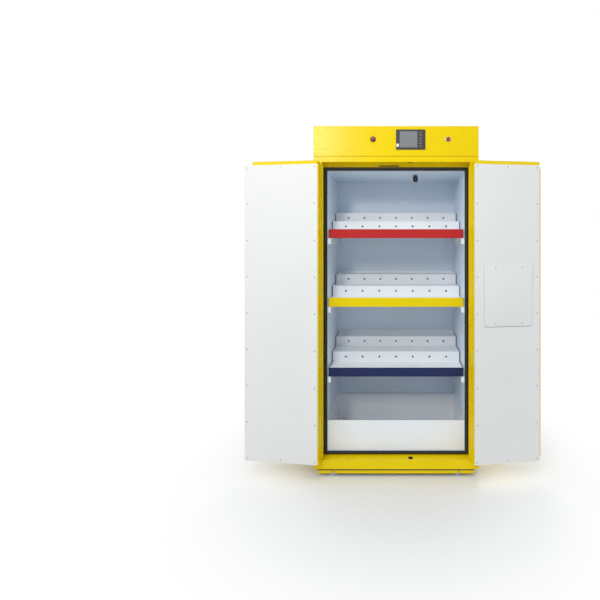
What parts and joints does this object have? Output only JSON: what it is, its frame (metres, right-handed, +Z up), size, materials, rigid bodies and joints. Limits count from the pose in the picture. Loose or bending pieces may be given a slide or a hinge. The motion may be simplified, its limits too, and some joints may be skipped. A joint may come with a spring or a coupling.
{
  "type": "flammable safety cabinet",
  "caption": "Tall double-walled steel cabinet with two doors, stepped shelves over a spill tray, a control housing on top and small wheels below.",
  "frame": {"origin": "on the floor, in the cabinet's middle plane, halfway between its back and the front of the open doors; the left door's wider inner panel puts the box's own middle 10 mm to -X", "axes": "+Z up, -Y out of the doorway, +X to the right as seen from the front"},
  "size_m": [1.6197, 0.5732, 1.915],
  "materials": {
    "yellow_enamel": "semi-gloss yellow powder coat",
    "liner_enamel": "semi-gloss white powder coat",
    "shelf_enamel": "semi-gloss white powder coat",
    "panel_white": "satin white powder coat",
    "red_strip": "semi-gloss red",
    "yellow_strip": "semi-gloss yellow",
    "blue_strip": "semi-gloss navy blue",
    "seal_rubber": "matt black sponge rubber",
    "black_plastic": "fine-grained black",
    "grey_plastic": "satin dark grey",
    "screen": "glossy, unlit",
    "lamp_red": "clear dark red",
    "button_red": "glossy red",
    "chrome": "bright chrome plate",
    "stainless": "brushed stainless",
    "zinc_steel": "bright zinc plate",
    "key_nickel": "nickel-plated",
    "bare_metal": "mill finish",
    "wheel_nylon": "smooth light grey nylon"
  },
  "bodies": {
    "cabinet": {"left_side_panel": "yellow_enamel", "right_side_panel": "yellow_enamel", "back_panel": "yellow_enamel", "floor_panel": "yellow_enamel", "roof_panel": "yellow_enamel", "header_rail": "yellow_enamel", "sill_rail": "yellow_enamel", "plinth": "yellow_enamel", "left_axle": "zinc_steel", "right_axle": "zinc_steel", "inner_liner": "liner_enamel", "door_seal": "seal_rubber", "spill_tray": "shelf_enamel", "bottom_shelf": "shelf_enamel", "middle_shelf": "shelf_enamel", "top_shelf": "shelf_enamel", "blue_shelf_strip": "blue_strip", "yellow_shelf_strip": "yellow_strip", "red_shelf_strip": "red_strip", "left_bottom_shelf_rail": "shelf_enamel", "right_bottom_shelf_rail": "shelf_enamel", "left_middle_shelf_rail": "shelf_enamel", "right_middle_shelf_rail": "shelf_enamel", "left_top_shelf_rail": "shelf_enamel", "right_top_shelf_rail": "shelf_enamel", "gas_sensor": "black_plastic", "top_housing": "yellow_enamel", "fascia_panel": "yellow_enamel", "display_housing": "grey_plastic", "display_screen": "screen", "alarm_lamp": "lamp_red", "button_bezel": "chrome", "power_supply": "bare_metal", "mains_inlet": "black_plastic", "left_frame_leaf": "yellow_enamel", "right_frame_leaf": "yellow_enamel", "left_hinge_pin": "zinc_steel", "right_hinge_pin": "zinc_steel"},
    "left_door": {"left_door_shell": "yellow_enamel", "left_door_inner_panel": "panel_white", "left_door_leaf": "yellow_enamel", "left_door_pull": "chrome"},
    "right_door": {"right_door_shell": "yellow_enamel", "right_door_inner_panel": "panel_white", "right_door_leaf": "yellow_enamel", "right_door_pull": "chrome", "lock_plate": "stainless", "lock_cover": "panel_white"},
    "paddle": {"paddle": "stainless"},
    "left_key": {"left_key": "key_nickel", "latch_cam": "zinc_steel"},
    "right_key": {"right_key": "black_plastic", "lock_tongue": "zinc_steel"},
    "upper_bolt": {"upper_bolt": "zinc_steel"},
    "lower_bolt": {"lower_bolt": "zinc_steel"},
    "red_button": {"red_button": "button_red"},
    "front_left_wheel": {"front_left_wheel": "wheel_nylon"},
    "front_right_wheel": {"front_right_wheel": "wheel_nylon"},
    "back_left_wheel": {"back_left_wheel": "wheel_nylon"},
    "back_right_wheel": {"back_right_wheel": "wheel_nylon"}
  },
  "joints": [
    {"name": "left_door_hinge", "type": "hinge", "parent": "cabinet", "child": "left_door", "pos_m": [-0.402, -0.22906, 0.9], "axis": [0, 0, 1], "range_deg": [0, 187]},
    {"name": "right_door_hinge", "type": "hinge", "parent": "cabinet", "child": "right_door", "pos_m": [0.402, -0.22906, 0.9], "axis": [0, 0, -1], "range_deg": [0, 187]},
    {"name": "paddle_pull", "type": "hinge", "parent": "right_door", "child": "paddle", "pos_m": [0.64305, -0.20652, 1.1005], "axis": [0.9925, 0.1219, 0], "range_deg": [0, 35], "stiffness_Nm_per_rad": 0.6, "springref_deg": -17.19},
    {"name": "left_key_turn", "type": "hinge", "parent": "right_door", "child": "left_key", "pos_m": [0.70931, -0.19637, 1.06], "axis": [0.1219, -0.9925, 0], "range_deg": [0, 90]},
    {"name": "upper_bolt_slide", "type": "slide", "parent": "right_door", "child": "upper_bolt", "axis": [0, 0, 1], "range_m": [0, 0.014]},
    {"name": "lower_bolt_slide", "type": "slide", "parent": "right_door", "child": "lower_bolt", "axis": [0, 0, -1], "range_m": [0, 0.014]},
    {"name": "right_key_turn", "type": "hinge", "parent": "right_door", "child": "right_key", "pos_m": [0.5763, -0.2127, 1.06], "axis": [0.1219, -0.9925, 0], "range_deg": [0, 90]},
    {"name": "red_button_press", "type": "slide", "parent": "cabinet", "child": "red_button", "axis": [0, 1, 0], "range_m": [0, 0.004], "stiffness_N_per_m": 300, "springref_m": -0.002},
    {"name": "front_left_wheel_roll", "type": "hinge", "parent": "cabinet", "child": "front_left_wheel", "pos_m": [-0.345, -0.19106, 0.022], "axis": [0, 1, 0], "continuous": true},
    {"name": "front_right_wheel_roll", "type": "hinge", "parent": "cabinet", "child": "front_right_wheel", "pos_m": [0.345, -0.19106, 0.022], "axis": [0, 1, 0], "continuous": true},
    {"name": "back_left_wheel_roll", "type": "hinge", "parent": "cabinet", "child": "back_left_wheel", "pos_m": [-0.345, 0.25294, 0.022], "axis": [0, 1, 0], "continuous": true},
    {"name": "back_right_wheel_roll", "type": "hinge", "parent": "cabinet", "child": "back_right_wheel", "pos_m": [0.345, 0.25294, 0.022], "axis": [0, 1, 0], "continuous": true}
  ],
  "couplings": [
    {"joint": "lower_bolt_slide", "follows": "upper_bolt_slide", "ratio": 1},
    {"joint": "left_key_turn", "follows": "upper_bolt_slide", "rad_per_m": 112.2}
  ]
}
